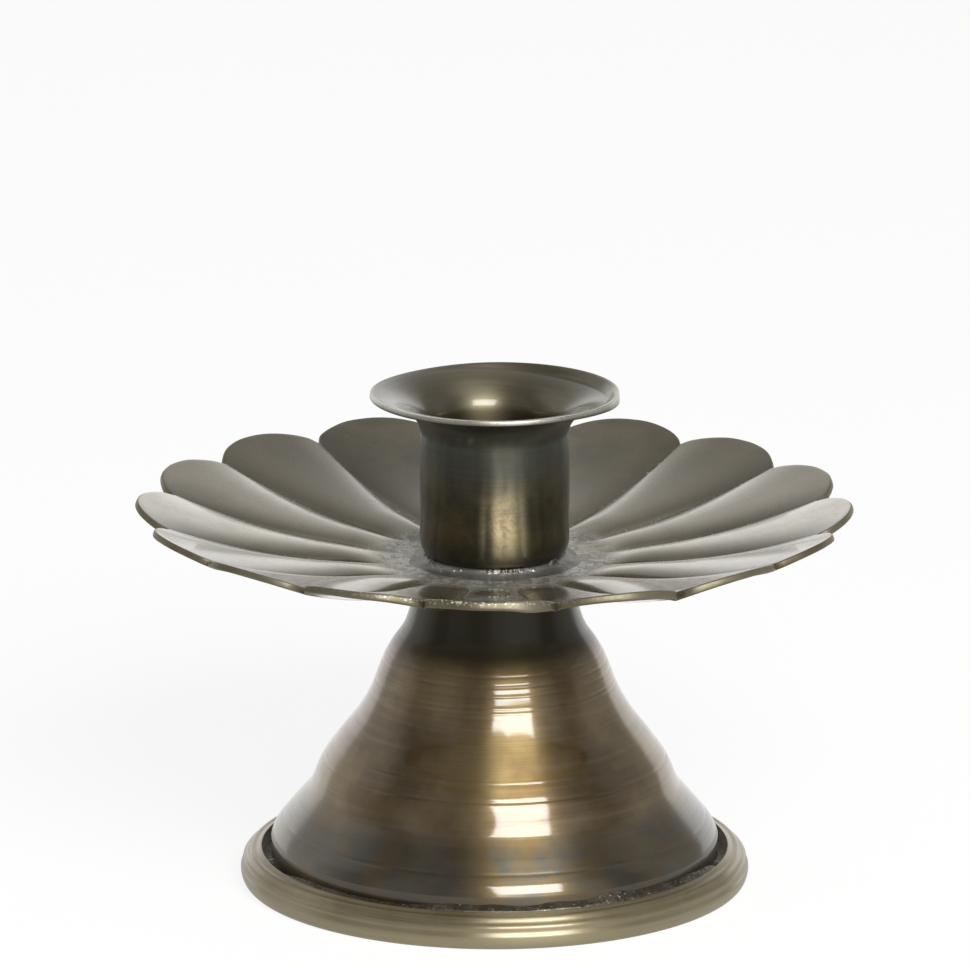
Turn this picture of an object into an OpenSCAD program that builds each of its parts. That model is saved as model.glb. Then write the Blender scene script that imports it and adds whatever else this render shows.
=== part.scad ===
// Candlestick: a flared candle cup and a fluted drip pan on a hollow turned cone.
// Lengths are millimetres. Z points up and the origin is at the foot's centre, on the table.

/* [Candle cup] */
// Bore that takes the candle
cup_bore_d = 22.6; // [21:0.1:25]
// Thickness of the cup's wall and lip
cup_wall = 0.85; // [0.6:0.05:1.4]
// Height of the cup from the pan to the rim
cup_h = 28.4; // [22:0.2:34]
// Diameter over the flared rim
cup_rim_d = 40.6; // [36:0.2:48]
// Height that the flare takes up
cup_flare_h = 7; // [4:0.2:8]
// Sweep of the flare's curve, where 90 ends level
cup_flare_sweep = 78; // [60:1:88]
// Thickness of the cup's floor
cup_floor_t = 1.2; // [0.8:0.1:2]
// Outside radius of the cup's bottom corner
cup_corner_r = 3.6; // [2.4:0.1:4.6]

/* [Drip pan] */
// Diameter over the petal tips
pan_d = 116.3; // [100:0.5:130]
// Number of petals
petal_count = 16; // [10:1:20]
// How far the notches reach in from the petal tips
notch_depth = 3.7; // [1:0.1:6]
// Rise of the pan from its flat middle to the notches
pan_rise = 7.75; // [4:0.25:12]
// Height of a petal's swell above the valleys beside it
petal_swell = 1.2; // [0.4:0.1:2]
// Thickness of the pan's sheet
pan_t = 1.1; // [0.8:0.1:2]
// Diameter of the flat middle
pan_boss_d = 34; // [33:0.5:44]
// Angle by which the first notch is turned from the X axis
petal_turn = 10.3; // [0:0.1:22.5]

/* [Base cone] */
// Diameter of the cone's skirt
skirt_d = 73; // [60:0.5:86]
// Height of the skirt's straight part
skirt_h = 4.4; // [3.4:0.2:6]
// Diameter of the cone under the pan
neck_d = 24.4; // [22:0.2:28]
// Height of the cone's top above the table
cone_top_h = 52.9; // [44:0.1:64]
// Thickness of the cone's wall
cone_wall = 1.5; // [1:0.1:2.4]
// Radius of the rounded edge at the cone's top
neck_round_r = 1.5; // [0.8:0.1:2.2]

/* [Foot ring] */
// Width of the ring's shoulder, from the lip out to its widest part
ring_shoulder_w = 3.4; // [2:0.1:6]
// Height of the ring's lip
ring_h = 5.5; // [4.5:0.1:7]
// Height of the ledge that the cone stands on
ring_ledge_h = 3; // [2:0.1:3.8]
// Height at which the ring is widest
ring_belly_h = 2.1; // [1:0.1:3]
// How far the ring draws in from its widest part to the table
ring_undercut = 1.1; // [0.4:0.1:2]
// Width of the channel between the cone and the lip
channel_w = 1.6; // [0.8:0.1:2]
// How far the ledge reaches in past the cone's wall
ledge_lap = 0.6; // [0.2:0.1:2]
// Number of turned grooves on the ring's shoulder
ring_groove_count = 3; // [1:1:5]
// Depth of those grooves
ring_groove_depth = 0.3; // [0.1:0.05:0.6]

/* [Clamp screw] */
// Thread diameter of the screw
screw_d = 4; // [3:0.5:5]
// Length of the screw below its head
screw_l = 12; // [11:0.5:20]
// Pitch of the thread
thread_pitch = 0.7; // [0.5:0.05:1]
// Depth of the thread
thread_depth = 0.4; // [0.2:0.05:0.5]
// Diameter of the screw's head
head_d = 8; // [7:0.5:10]
// Height of the screw's head
head_h = 1.8; // [1.5:0.1:3.2]
// Width of the head's slot
slot_w = 1.2; // [0.8:0.1:1.6]
// Depth of the head's slot
slot_depth = 0.9; // [0.6:0.1:1.4]
// Play of the screw in its holes, all round
hole_play = 0.25; // [0.1:0.05:0.5]
// Play of the screw in the nut's thread, all round
thread_play = 0.05; // [0.02:0.01:0.1]
// Diameter of the flat washers
washer_d = 9; // [8:0.5:12]
// Thickness of the flat washers
washer_t = 0.8; // [0.5:0.1:1.2]
// Diameter of the spring washer
spring_washer_d = 7.6; // [7:0.2:10]
// Thickness of the spring washer
spring_washer_t = 1; // [0.6:0.1:1.4]
// Width of the cut in the spring washer
spring_washer_cut = 0.8; // [0.4:0.1:1.4]
// Width of the nut across its flats
nut_flats = 7; // [6.5:0.5:9]
// Height of the nut
nut_h = 3.2; // [2.4:0.1:4]

/* [Solder] */
// Height of the fillet on the cup's bottom corner
cup_fillet_h = 1.6; // [0.8:0.1:2.2]
// How far the fillet runs out over the pan
cup_fillet_w = 3.6; // [1.5:0.1:4]
// How far the fillet at the cone's top runs out under the pan
neck_fillet_w = 2.2; // [1:0.1:3]
// Height of the solder tacks in the foot's channel
tack_h = 1.5; // [0.6:0.1:2.2]
// Height of the long bead at the front, above the ring's lip
bead_h = 1.3; // [0.4:0.1:1.8]

/* [Hidden] */
$fn = 96;
// How far a cut runs past the face that it opens
overrun = 1;

// Radii of the cup, and the line midway through its wall
cup_bore_r = cup_bore_d / 2;
cup_r = cup_bore_r + cup_wall;
cup_mid_r = cup_bore_r + cup_wall / 2;
cup_inner_corner_r = cup_corner_r - cup_wall;
cup_flare_steps = 12;
arc_steps = 8;

// Radii of the pan, and how its surface is divided
pan_tip_r = pan_d / 2;
notch_r = pan_tip_r - notch_depth;
pan_boss_r = pan_boss_d / 2;
petal_columns = 8;
pan_columns = petal_count * petal_columns;
pan_rows = 10;
// Share of the pan's rise that is straight, the rest being a parabola
pan_straight_share = 0.14;
// Powers that shape the petal's tip and how round its swell is
petal_tip_power = 2.24;
petal_swell_power = 2.2;
// Share of the way out over which the swell comes up, and the share of it that is lost at the rim
swell_start_share = 0.3;
swell_loss_share = 0.58;
swell_loss_power = 3;

// The cone's outline between skirt and neck, as shares of its height and of its spread
cone_outline_shares = [
    [0, 1], [0.1, 0.86], [0.195, 0.735], [0.29, 0.663], [0.38, 0.55], [0.47, 0.425],
    [0.56, 0.333], [0.65, 0.27], [0.7, 0.232], [0.745, 0.183], [0.79, 0.125],
    [0.835, 0.087], [1, 0]
];
cone_steps = 48;
skirt_r = skirt_d / 2;
neck_r = neck_d / 2;

// Radii of the foot ring
ring_lip_r = skirt_r + channel_w;
ring_r = ring_lip_r + ring_shoulder_w;
ring_bottom_r = ring_r - ring_undercut;
ring_bore_r = skirt_r - cone_wall - ledge_lap;
groove_steps = 8;

// Heights of the seats, from the table up
cone_foot_z = ring_ledge_h;
skirt_top_z = cone_foot_z + skirt_h;
cone_curve_h = cone_top_h - neck_round_r - skirt_top_z;
pan_top_z = cone_top_h + pan_t;
cup_floor_z = pan_top_z + cup_floor_t;
cup_top_z = pan_top_z + cup_h;
cup_flare_z = cup_top_z - cup_flare_h;

// Heights in the stack that the screw clamps
head_z = cup_floor_z + washer_t;
screw_tip_z = head_z - screw_l;
cone_washer_z = cone_top_h - cone_wall - washer_t;
spring_washer_z = cone_washer_z - spring_washer_t;
nut_z = spring_washer_z - nut_h;

screw_r = screw_d / 2;
screw_hole_r = screw_r + hole_play;
// Shares of the head that are straight at its side, and of its top that stays flat
head_side_share = 0.45;
head_flat_share = 0.5;
// Share of the nut's height that its chamfers take, at each end
nut_chamfer_share = 0.14;

// Middle and width of each solder tack round the foot, and of the long bead, in shares of a turn
tack_turn_shares = [[0.206, 0.025], [0.364, 0.039], [0.525, 0.03], [0.635, 0.02], [0.972, 0.04]];
bead_turn_shares = [0.806, 0.215];
// Width and height of the bead at its middle, as shares of the whole
bead_middle_shares = [0.4, 0.35];

// The point on an arc round a centre
function arc_point(centre, r, a) = centre + r * [cos(a), sin(a)];

// The points of an arc from one angle to another
function arc_points(centre, r, from, to) =
    [for (i = [0:arc_steps]) arc_point(centre, r, from + (to - from) * i / arc_steps)];

function unit(v) = v / norm(v);

// A point moved sideways, to the right of the way that a line runs
function beside(p, way, w) = p + w * [way[1], -way[0]];

// The middle line of the cup's flare, from the straight wall at 0 to the lip
flare_reach = cup_rim_d / 2 - cup_wall / 2 - cup_mid_r;
flare_rise = cup_flare_h - cup_wall / 2;
function flare_point(a) = [
    cup_mid_r + flare_reach * (1 - cos(a)) / (1 - cos(cup_flare_sweep)),
    cup_flare_z + flare_rise * sin(a) / sin(cup_flare_sweep)
];
function flare_way(a) = unit([
    flare_reach * sin(a) / (1 - cos(cup_flare_sweep)),
    flare_rise * cos(a) / sin(cup_flare_sweep)
]);
function flare_side(w) = [
    for (i = [0:cup_flare_steps])
        let (a = cup_flare_sweep * i / cup_flare_steps)
            beside(flare_point(a), flare_way(a), w)
];
function reversed(list) = [for (i = [len(list) - 1:-1:0]) list[i]];

// The rounded lip, from the underside over to the top
lip_way = flare_way(cup_flare_sweep);
lip_angle = atan2(lip_way[1], lip_way[0]);
lip_points = arc_points(flare_point(cup_flare_sweep), cup_wall / 2, lip_angle - 90, lip_angle + 90);

// The cup's bottom corner in two arcs, with the solder under the lower one
cup_corner_centre = [cup_r - cup_corner_r, pan_top_z + cup_corner_r];
solder_line_angle = 270 + acos(1 - cup_fillet_h / cup_corner_r);
cup_corner_low = arc_points(cup_corner_centre, cup_corner_r, 270, solder_line_angle);
cup_corner_high = [
    for (i = [1:arc_steps])
        let (a = solder_line_angle + (360 - solder_line_angle) * i / arc_steps)
            arc_point(cup_corner_centre, cup_corner_r, a)
];

// Slope of the cone's outline at one of its stations
function outline_slope(i) =
    let (
        last = len(cone_outline_shares) - 1,
        a = cone_outline_shares[max(i - 1, 0)],
        b = cone_outline_shares[min(i + 1, last)]
    )
    (b[1] - a[1]) / (b[0] - a[0]);

// The station below a height share
function outline_station(t) =
    max([for (i = [0:len(cone_outline_shares) - 2]) if (cone_outline_shares[i][0] <= t) i]);

// A smooth curve through the cone's stations
function outline_share(t) =
    let (
        i = outline_station(t),
        a = cone_outline_shares[i],
        b = cone_outline_shares[i + 1],
        span = b[0] - a[0],
        s = (t - a[0]) / span
    )
    a[1] * (1 + 2 * s) * (1 - s) * (1 - s)
        + b[1] * s * s * (3 - 2 * s)
        + outline_slope(i) * span * s * (1 - s) * (1 - s)
        - outline_slope(i + 1) * span * s * s * (1 - s);

function cone_point(t) = [
    neck_r + (skirt_r - neck_r) * outline_share(t),
    skirt_top_z + cone_curve_h * t
];
cone_outside = [for (i = [0:cone_steps]) cone_point(i / cone_steps)];
cone_inside = [
    for (i = [0:cone_steps])
        let (
            below = cone_outside[max(i - 1, 0)],
            above = cone_outside[min(i + 1, cone_steps)]
        )
            beside(cone_outside[i], unit(above - below), -cone_wall)
];

// The cone's top edge, shared with the solder under the pan
neck_round = arc_points([neck_r - neck_round_r, cone_top_h - neck_round_r], neck_round_r, 0, 90);

// The foot ring's grooved shoulder, from its widest part up to the lip
function shoulder_point(t) =
    let (
        dip = ring_groove_depth * (1 - cos(360 * ring_groove_count * t)) / 2,
        across = ring_r - ring_lip_r - dip,
        up = ring_h - ring_belly_h - dip
    )
    [ring_lip_r + across * cos(90 * t), ring_belly_h + up * sin(90 * t)];
shoulder_steps = ring_groove_count * groove_steps;
ring_shoulder = [for (i = [0:shoulder_steps]) shoulder_point(i / shoulder_steps)];
ring_underside = [
    for (i = [0:arc_steps - 1])
        let (a = 90 * i / arc_steps)
            [ring_bottom_r + ring_undercut * sin(a), ring_belly_h * (1 - cos(a))]
];

// How far out a place on the pan lies, as a share of the way from the middle to the notches
function pan_place(r) = (r - pan_boss_r) / (notch_r - pan_boss_r);

// Height of the valleys above the flat middle, and their slope
function valley_h(r) =
    pan_rise * (pan_straight_share * pan_place(r) + (1 - pan_straight_share) * pow(pan_place(r), 2));
function valley_slope(r) =
    pan_rise / (notch_r - pan_boss_r)
        * (pan_straight_share + 2 * (1 - pan_straight_share) * pan_place(r));

// How much of a petal's swell there is on the way out, where s runs from the middle to the rim
function swell_share(s) =
    sin(90 * min(1, s / swell_start_share)) * (1 - swell_loss_share * pow(s, swell_loss_power));

// Radius of the scalloped rim, where u runs from one notch to the next
function rim_r(u) = pan_tip_r - notch_depth * pow(abs(2 * u - 1), petal_tip_power);

// A point on the pan's sheet at a column and a row, at a depth below the top surface
function pan_point(column, row, depth) =
    let (
        u = (column % petal_columns) / petal_columns,
        s = row / pan_rows,
        r = pan_boss_r + s * (rim_r(u) - pan_boss_r),
        swell = petal_swell * (1 - pow(abs(2 * u - 1), petal_swell_power)) * swell_share(s),
        lean = row == 0 ? 0 : atan(valley_slope(r)),
        a = petal_turn + 360 * column / pan_columns,
        out = r + depth * sin(lean),
        z = pan_top_z + valley_h(r) + swell - depth * cos(lean)
    )
    [out * cos(a), out * sin(a), z];

// Number of a pan point in the list: top rows first, then bottom rows, then the two centres
pan_layer = pan_columns * (pan_rows + 1);
function pan_id(column, row, layer) = layer * pan_layer + row * pan_columns + column % pan_columns;

pan_points = concat(
    [for (layer = [0, 1]) for (row = [0:pan_rows]) for (column = [0:pan_columns - 1])
        pan_point(column, row, layer * pan_t)],
    [[0, 0, pan_top_z], [0, 0, cone_top_h]]
);
pan_faces = concat(
    [for (row = [0:pan_rows - 1]) for (c = [0:pan_columns - 1])
        each [[pan_id(c, row, 0), pan_id(c + 1, row, 0), pan_id(c + 1, row + 1, 0)],
            [pan_id(c, row, 0), pan_id(c + 1, row + 1, 0), pan_id(c, row + 1, 0)]]],
    [for (row = [0:pan_rows - 1]) for (c = [0:pan_columns - 1])
        each [[pan_id(c, row, 1), pan_id(c + 1, row + 1, 1), pan_id(c + 1, row, 1)],
            [pan_id(c, row, 1), pan_id(c, row + 1, 1), pan_id(c + 1, row + 1, 1)]]],
    [for (c = [0:pan_columns - 1])
        each [[pan_id(c, pan_rows, 0), pan_id(c + 1, pan_rows, 0), pan_id(c + 1, pan_rows, 1)],
            [pan_id(c, pan_rows, 0), pan_id(c + 1, pan_rows, 1), pan_id(c, pan_rows, 1)]]],
    [for (c = [0:pan_columns - 1]) [pan_id(c + 1, 0, 0), pan_id(c, 0, 0), 2 * pan_layer]],
    [for (c = [0:pan_columns - 1]) [pan_id(c, 0, 1), pan_id(c + 1, 0, 1), 2 * pan_layer + 1]]
);

// A round hole for the screw, through a wall that lies between two heights
module screw_hole(low, high) {
    translate([0, 0, low - overrun])
        cylinder(r = screw_hole_r, h = high - low + 2 * overrun);
}

// A flat round washer, standing on a height
module washer(z) {
    translate([0, 0, z])
        difference() {
            cylinder(d = washer_d, h = washer_t);
            translate([0, 0, -overrun])
                cylinder(r = screw_hole_r, h = washer_t + 2 * overrun);
        }
}

module candle_cup() {
    color("#3b382c")
        difference() {
            rotate_extrude()
                polygon(concat(
                    [[0, pan_top_z]],
                    cup_corner_low,
                    cup_corner_high,
                    flare_side(cup_wall / 2),
                    lip_points,
                    reversed(flare_side(-cup_wall / 2)),
                    arc_points([cup_bore_r - cup_inner_corner_r, cup_floor_z + cup_inner_corner_r],
                        cup_inner_corner_r, 360, 270),
                    [[0, cup_floor_z]]
                ));
            screw_hole(pan_top_z, cup_floor_z);
        }
}

module drip_pan() {
    color("#8d887a")
        difference() {
            polyhedron(points = pan_points, faces = pan_faces, convexity = 6);
            screw_hole(cone_top_h, pan_top_z);
        }
}

module base_cone() {
    color("#57492f")
        difference() {
            rotate_extrude()
                polygon(concat(
                    [[0, cone_foot_z], [skirt_r, cone_foot_z]],
                    cone_outside,
                    neck_round,
                    [[0, cone_top_h]]
                ));
            intersection() {
                rotate_extrude()
                    polygon(concat(
                        [[0, cone_foot_z - overrun], [skirt_r - cone_wall, cone_foot_z - overrun]],
                        cone_inside,
                        [[neck_r - cone_wall, cone_top_h], [0, cone_top_h]]
                    ));
                cylinder(r = skirt_r, h = cone_top_h - cone_wall);
            }
            screw_hole(cone_top_h - cone_wall, cone_top_h);
        }
}

module foot_ring() {
    color("#857d5f")
        rotate_extrude()
            polygon(concat(
                [[ring_bore_r, 0]],
                ring_underside,
                ring_shoulder,
                [[ring_lip_r, ring_ledge_h], [ring_bore_r, ring_ledge_h]]
            ));
}

module clamp_screw() {
    thread_turns = floor(screw_l / thread_pitch);
    color("#a9a79f")
        difference() {
            rotate_extrude()
                polygon(concat(
                    [[0, screw_tip_z], [screw_r - thread_depth, screw_tip_z]],
                    [for (i = [0:thread_turns - 1])
                        each [[screw_r, screw_tip_z + (i + 0.5) * thread_pitch],
                            [screw_r - thread_depth, screw_tip_z + (i + 1) * thread_pitch]]],
                    [[screw_r - thread_depth, head_z], [head_d / 2, head_z],
                        [head_d / 2, head_z + head_side_share * head_h],
                        [(1 + head_flat_share) * head_d / 4, head_z + (1 + head_side_share) * head_h / 2],
                        [head_flat_share * head_d / 2, head_z + head_h], [0, head_z + head_h]]
                ));
            translate([-head_d, -slot_w / 2, head_z + head_h - slot_depth])
                cube([2 * head_d, slot_w, slot_depth + overrun]);
        }
}

module cup_washer() {
    color("#9c998e")
        washer(cup_floor_z);
}

module cone_washer() {
    color("#9c998e")
        washer(cone_washer_z);
}

module spring_washer() {
    color("#77756d")
        translate([0, 0, spring_washer_z])
            difference() {
                cylinder(d = spring_washer_d, h = spring_washer_t);
                translate([0, 0, -overrun])
                    cylinder(r = screw_hole_r, h = spring_washer_t + 2 * overrun);
                translate([0, -spring_washer_cut / 2, -overrun])
                    cube([spring_washer_d, spring_washer_cut, spring_washer_t + 2 * overrun]);
            }
}

module hex_nut() {
    corner_r = nut_flats / sqrt(3);
    chamfer = nut_chamfer_share * nut_h;
    color("#a9a79f")
        translate([0, 0, nut_z])
            difference() {
                intersection() {
                    cylinder(r = corner_r, h = nut_h, $fn = 6);
                    rotate_extrude()
                        polygon([[0, 0], [nut_flats / 2, 0], [corner_r, chamfer],
                            [corner_r, nut_h - chamfer], [nut_flats / 2, nut_h], [0, nut_h]]);
                }
                translate([0, 0, -overrun])
                    cylinder(r = screw_r + thread_play, h = nut_h + 2 * overrun);
            }
}

// A ring of solder whose hollow face runs from the cup's bottom corner down to the pan
module cup_solder() {
    solder_line_r = cup_corner_low[arc_steps][0];
    reach = cup_r + cup_fillet_w - solder_line_r;
    color("#86847c")
        rotate_extrude()
            polygon(concat(
                cup_corner_low,
                [for (i = [1:arc_steps])
                    let (a = 90 * i / arc_steps)
                        [solder_line_r + reach * (1 - cos(a)), pan_top_z + cup_fillet_h * (1 - sin(a))]]
            ));
}

// A ring of solder in the corner between the cone's rounded top and the pan
module neck_solder() {
    color("#6f6d64")
        rotate_extrude()
            polygon(concat(
                reversed(neck_round),
                [for (i = [1:arc_steps])
                    let (a = 90 * i / arc_steps)
                        [neck_r + neck_fillet_w * (1 - cos(a)), cone_top_h - neck_round_r * (1 - sin(a))]]
            ));
}

// A run of solder round the foot, over a middle and a width in shares of a turn
module solder_run(turn_shares, outline) {
    rotate([0, 0, 360 * (turn_shares[0] - turn_shares[1] / 2)])
        rotate_extrude(angle = 360 * turn_shares[1])
            polygon(outline);
}

// Short tacks of solder in the foot's channel, and a long bead that fills it at the front
module foot_solder() {
    color("#86847c") {
        for (turn_shares = tack_turn_shares)
            solder_run(turn_shares, [[skirt_r, ring_ledge_h], [ring_lip_r, ring_ledge_h],
                [ring_lip_r, ring_ledge_h + tack_h / 2], [skirt_r, ring_ledge_h + tack_h]]);
        solder_run(bead_turn_shares, [[skirt_r, ring_ledge_h], [ring_lip_r, ring_ledge_h],
            [ring_lip_r, ring_h],
            [skirt_r + bead_middle_shares[0] * channel_w, ring_h + bead_middle_shares[1] * bead_h],
            [skirt_r, ring_h + bead_h]]);
    }
}

candle_cup();
drip_pan();
base_cone();
foot_ring();
clamp_screw();
cup_washer();
cone_washer();
spring_washer();
hex_nut();
cup_solder();
neck_solder();
foot_solder();
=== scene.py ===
"""Looks of the low candlestick, laid out as a Blender add-on and run as a script.

Outlines are worked out in millimetres, with Z up from the table. Meshes are in metres.
"""

import math
from types import SimpleNamespace

import bmesh
import bpy
import numpy as np
from bpy.props import FloatProperty, FloatVectorProperty, IntProperty, PointerProperty
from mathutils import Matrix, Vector


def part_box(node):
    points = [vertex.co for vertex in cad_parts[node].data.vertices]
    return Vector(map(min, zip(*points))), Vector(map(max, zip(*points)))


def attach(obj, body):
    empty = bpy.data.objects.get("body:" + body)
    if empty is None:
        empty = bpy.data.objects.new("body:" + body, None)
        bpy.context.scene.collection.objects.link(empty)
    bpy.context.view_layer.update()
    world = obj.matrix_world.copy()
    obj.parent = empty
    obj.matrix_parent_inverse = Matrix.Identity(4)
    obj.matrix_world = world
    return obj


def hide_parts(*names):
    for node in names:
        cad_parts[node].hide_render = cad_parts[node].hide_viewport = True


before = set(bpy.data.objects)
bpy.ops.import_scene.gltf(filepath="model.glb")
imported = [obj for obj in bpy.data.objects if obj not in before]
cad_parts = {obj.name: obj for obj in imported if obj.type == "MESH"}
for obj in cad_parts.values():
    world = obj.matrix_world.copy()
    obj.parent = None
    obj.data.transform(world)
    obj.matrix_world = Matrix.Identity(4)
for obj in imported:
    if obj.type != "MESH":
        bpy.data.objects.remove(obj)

bl_info = {
    "name": "Fluted candlestick",
    "version": (1, 0, 0),
    "blender": (4, 5, 0),
    "location": "View3D > Sidebar > Candlestick",
    "description": "Turned cup, fluted drip pan and turned cone in patinated iron",
    "category": "Add Mesh",
}

MM = 0.001
TURN = 2 * math.pi
# Points round a turned piece
AROUND = 288


def linear(hex_colour):
    """An sRGB hex colour as the linear RGBA that shaders take."""
    parts = [int(hex_colour[i:i + 2], 16) / 255 for i in (0, 2, 4)]
    return tuple(p / 12.92 if p <= 0.04045 else ((p + 0.055) / 1.055) ** 2.4
                 for p in parts) + (1.0,)


def length(name, description, millimetres):
    """A length that a user can change."""
    return FloatProperty(name=name, description=description, default=millimetres * MM,
                         min=0.0, unit="LENGTH", subtype="DISTANCE", precision=5)


def colour(name, description, hex_colour):
    """A colour that a user can change."""
    return FloatVectorProperty(name=name, description=description, size=4, min=0.0, max=1.0,
                               default=linear(hex_colour), subtype="COLOR")


def corner(node, axis):
    """The highest place of a CAD node along an axis, in millimetres."""
    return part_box(node)[1][axis] / MM


class CandlestickSizes(bpy.types.PropertyGroup):
    """Lengths of the pieces."""

    rim_radius: length("Rim radius", "Over the cup's flared lip", corner("candle_cup", 0))
    cup_top: length("Cup top", "Height of the rim above the table", corner("candle_cup", 2))
    pan_top: length("Pan top", "Height of the pan's flat middle", 54.0)
    bore_radius: length("Bore radius", "Radius of the bore for the candle", 11.3)
    cup_wall: length("Cup wall", "Thickness of the cup's wall and lip", 0.85)
    cup_floor: length("Cup floor", "Thickness of the cup's floor", 1.2)
    cup_corner: length("Cup corner", "Outside radius of the cup's bottom corner", 3.6)
    flare_height: length("Flare height", "Height that the flare takes up", 7.0)
    lip_turn_up: length("Lip turn-up", "How far the lip stands up where it is bent most", 1.5)
    lip_edge: length("Lip edge", "Rounding of the lip's edge", 0.18)
    rim_lean: length("Rim lean", "How much lower the rim is at the back", 0.66)
    tip_radius: length("Tip radius", "Over the pan's petal tips", 58.15)
    notch_depth: length("Notch depth", "How far the notches reach in from the tips", 3.7)
    pan_rise: length("Pan rise", "Rise from the pan's middle to its notches", 7.75)
    petal_swell: length("Petal swell", "Height of a petal above the valleys beside it", 1.2)
    pan_sheet: length("Pan sheet", "Thickness of the pan's sheet", 1.1)
    sheet_round: length("Sheet round", "Rounding of the pan's edge", 0.3)
    boss_radius: length("Boss radius", "Radius of the pan's flat middle", 17.0)
    skirt_radius: length("Skirt radius", "Radius of the cone at its foot", 36.5)
    neck_radius: length("Neck radius", "Radius of the cone under the pan", 12.2)
    neck_round: length("Neck round", "Rounding of the cone's top edge", 1.5)
    cone_wall: length("Cone wall", "Thickness of the cone's wall", 1.5)
    skirt_top: length("Skirt top", "Height where the cone's curve starts", 7.4)
    ledge_height: length("Ledge height", "Height of the ledge that the cone stands on", 3.0)
    ledge_reach: length("Ledge reach", "How far the ledge passes the cone's wall", 0.6)
    channel: length("Channel", "Width of the channel round the cone's foot", 1.6)
    tack: length("Tack", "Height of the tacks of solder in the channel", 1.3)
    bead: length("Foot bead", "Height of the front bead of solder above the lip", 1.3)
    shoulder: length("Shoulder", "Width of the foot ring's shoulder", 3.4)
    ring_height: length("Ring height", "Height of the foot ring's lip", 5.5)
    belly_height: length("Belly height", "Height at which the foot ring is widest", 2.1)
    undercut: length("Undercut", "How far the ring draws in to the table", 1.1)
    ring_groove: length("Ring groove", "Depth of the grooves in the foot ring", 0.22)
    hole_radius: length("Hole radius", "Radius of the holes for the screw", 2.25)
    cup_fillet: length("Cup fillet", "How far the solder runs out over the pan", 2.8)
    cup_fillet_height: length("Cup fillet height", "How high it stands on the cup's corner", 1.2)
    neck_fillet: length("Neck fillet", "How far the solder runs out under the pan", 2.2)
    petals: IntProperty(name="Petals", description="Number of the pan's petals",
                        default=16, min=6, max=32)
    petal_turn: FloatProperty(name="Petal turn", description="Turn of the first valley",
                              default=math.radians(10.3), subtype="ANGLE", unit="ROTATION")


class CandlestickFinishes(bpy.types.PropertyGroup):
    """Colours of the finishes."""

    cup_patina: colour("Cup patina", "Dark olive patina of the cup", "565244")
    cup_rub: colour("Cup rub", "Where the cup's patina is rubbed thin", "736a4c")
    cup_inside: colour("Cup inside", "Olive-brown patina inside the flare", "7f775f")
    pan_patina: colour("Pan patina", "Silver-grey patina of the petals", "bdb39b")
    pan_dark: colour("Pan dark", "Olive-brown patina where it is thicker", "968c72")
    pan_edge: colour("Pan edge", "Olive patina of the pan's edge", "867f6a")
    cone_patina: colour("Cone patina", "Bronze-brown patina of the cone", "937e55")
    # Near-black painted shade under the pan
    cone_dark: colour("Cone dark", "Near-black patina under the pan", "383421")
    cone_rub: colour("Cone rub", "Golden metal where the cone is rubbed", "a89474")
    ring_patina: colour("Ring patina", "Olive-tan patina of the foot ring", "a89b7c")
    solder: colour("Solder", "Brushed solder", "a9a7a1")
    zinc: colour("Zinc", "Dulled zinc plating", "b9b8b2")
    spring: colour("Spring", "Dark tempered steel", "6f6d66")


class CandlestickStudio(bpy.types.PropertyGroup):
    """Light and camera."""

    key_watts: FloatProperty(name="Key light", description="Power of the softbox",
                             default=20.0, min=0.0, unit="POWER")
    room: FloatProperty(name="Room", description="Light from all round on dull surfaces",
                        default=0.3, min=0.0, max=2.0, subtype="FACTOR")
    camera_distance: FloatProperty(name="Camera distance", description="From the pan's axis",
                                   default=2.316, min=0.5, unit="LENGTH", subtype="DISTANCE")
    camera_height: FloatProperty(name="Camera elevation", description="Angle that it looks down",
                                 default=math.radians(15.355), subtype="ANGLE", unit="ROTATION")


def in_mm(group):
    """The lengths of a group in millimetres, and its other values as they are."""
    found = {}
    for prop in group.bl_rna.properties:
        if prop.identifier not in ("rna_type", "name"):
            value = getattr(group, prop.identifier)
            found[prop.identifier] = value / MM if prop.unit == "LENGTH" else value
    return SimpleNamespace(**found)


# Outlines are rows of radius, height and a third value that a piece uses for itself.

def run(start, end, steps, mark=0.0):
    """A straight stretch of an outline."""
    points = np.linspace(start, end, steps + 1)
    return np.column_stack([points, np.full(steps + 1, mark)])


def arc(centre, radius, start, end, steps, mark=0.0):
    """A round stretch of an outline between two angles in degrees, oval with two radii."""
    a = np.radians(np.linspace(start, end, steps + 1))
    points = centre + np.multiply(radius, np.column_stack([np.cos(a), np.sin(a)]))
    return np.column_stack([points, np.full(steps + 1, mark)])


def joined(*stretches):
    """One outline of several stretches, with repeated points left out."""
    points = np.vstack(stretches)
    step = np.linalg.norm(np.diff(points[:, :2], axis=0), axis=1)
    return points[np.concatenate([[True], step > 1e-5])]


def flowing(stations, at):
    """A smooth curve through stations, read at many places."""
    x, y = np.array(stations, float).T
    slope = np.empty_like(y)
    slope[1:-1] = (y[2:] - y[:-2]) / (x[2:] - x[:-2])
    slope[0] = (y[1] - y[0]) / (x[1] - x[0])
    slope[-1] = (y[-1] - y[-2]) / (x[-1] - x[-2])
    i = np.clip(np.searchsorted(x, at, side="right") - 1, 0, len(x) - 2)
    span = x[i + 1] - x[i]
    s = (at - x[i]) / span
    return (y[i] * (1 + 2 * s) * (1 - s) ** 2 + y[i + 1] * s * s * (3 - 2 * s)
            + slope[i] * span * s * (1 - s) ** 2 - slope[i + 1] * span * s * s * (1 - s))


def ease(low, high, value):
    """0 below low, 1 above high and a soft step between."""
    s = np.clip((value - low) / (high - low), 0, 1)
    return s * s * (3 - 2 * s)


def away(angle, degrees):
    """How far an angle is from a place round the axis, by the shorter way."""
    return (angle - math.radians(degrees) + math.pi) % TURN - math.pi


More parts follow.
